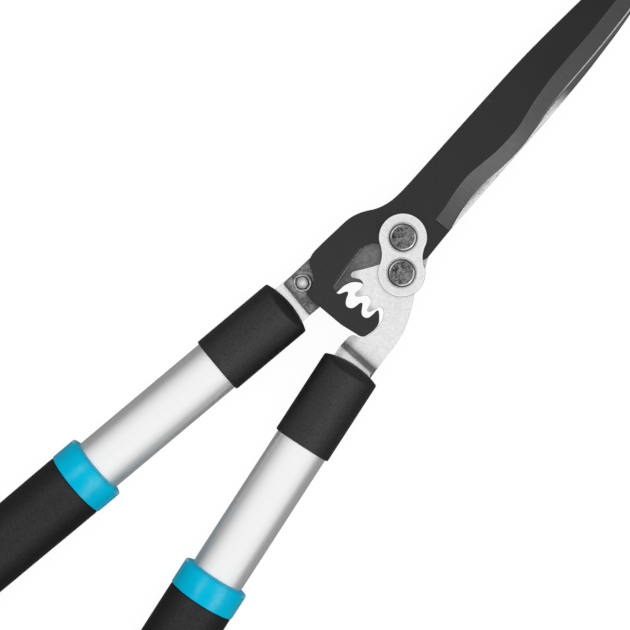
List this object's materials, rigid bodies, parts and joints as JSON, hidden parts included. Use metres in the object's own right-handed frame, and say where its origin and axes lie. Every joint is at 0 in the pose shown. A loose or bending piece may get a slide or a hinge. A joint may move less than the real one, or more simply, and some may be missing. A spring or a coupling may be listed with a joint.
{
  "type": "hedge shears",
  "caption": "Geared long-handled hedge shears with wavy blades, oval aluminium handle tubes, blue collars and soft black grips; handles swing open and gear teeth open the blade.",
  "frame": {"origin": "centre of the flat outer face of the blade pivot bolt's head, on the blade pivot axis", "axes": "+X along the closed blades towards their tips, +Y towards the fixed (left) handle's side, +Z out of the face that carries the link plate"},
  "size_m": [0.5951, 0.1662, 0.0306],
  "materials": {
    "coated_blade": "black non-stick coating, satin, with a bare ground bevel along the wavy edge",
    "ground_blade": "ground steel, bright and streaky on the blade, dark and mottled on the tang",
    "plated_steel": "zinc plated sheet steel, satin with a fine speckle",
    "bolt_steel": "mid-grey steel heads with polished rims",
    "bright_steel": "bright plated steel",
    "sleeve_plastic": "black satin moulded plastic",
    "tube_aluminium": "satin anodised",
    "insert_plastic": "dark grey moulded plastic",
    "collar_plastic": "cyan-blue moulded plastic, satin",
    "grip_rubber": "black soft-touch, fine grain",
    "cap_plastic": "black moulded plastic"
  },
  "bodies": {
    "fixed_half": {"rear_blade": "ground_blade", "link_plate": "plated_steel", "left_tang": "plated_steel", "blade_pivot_bolt": "bolt_steel", "gear_pivot_bolt": "bolt_steel", "blade_pivot_washer": "bright_steel", "gear_pivot_washer": "bright_steel", "blade_pivot_nut": "bright_steel", "gear_pivot_nut": "bright_steel", "tang_rivet_outer": "bright_steel", "tang_rivet_inner": "bright_steel", "left_cross_pin": "bright_steel", "left_sleeve": "sleeve_plastic", "left_tube": "tube_aluminium", "left_insert": "insert_plastic", "left_grip_core": "collar_plastic", "left_grip_cover": "grip_rubber", "left_end_cap": "cap_plastic"},
    "lever_half": {"gear_lever": "plated_steel", "right_cross_pin": "bright_steel", "right_sleeve": "sleeve_plastic", "right_tube": "tube_aluminium", "right_insert": "insert_plastic", "right_grip_core": "collar_plastic", "right_grip_cover": "grip_rubber", "right_end_cap": "cap_plastic"},
    "moving_blade": {"front_blade": "coated_blade"}
  },
  "joints": [
    {"name": "lever_swing", "type": "hinge", "parent": "fixed_half", "child": "lever_half", "pos_m": [-0.01393, -0.01138, -0.0056], "axis": [0, 0, 1], "range_deg": [0, 66]},
    {"name": "blade_swing", "type": "hinge", "parent": "fixed_half", "child": "moving_blade", "pos_m": [0, 0, -0.0074], "axis": [0, 0, 1], "range_deg": [0, 36.7]}
  ],
  "couplings": [
    {"joint": "blade_swing", "follows": "lever_swing", "ratio": 0.55556}
  ]
}
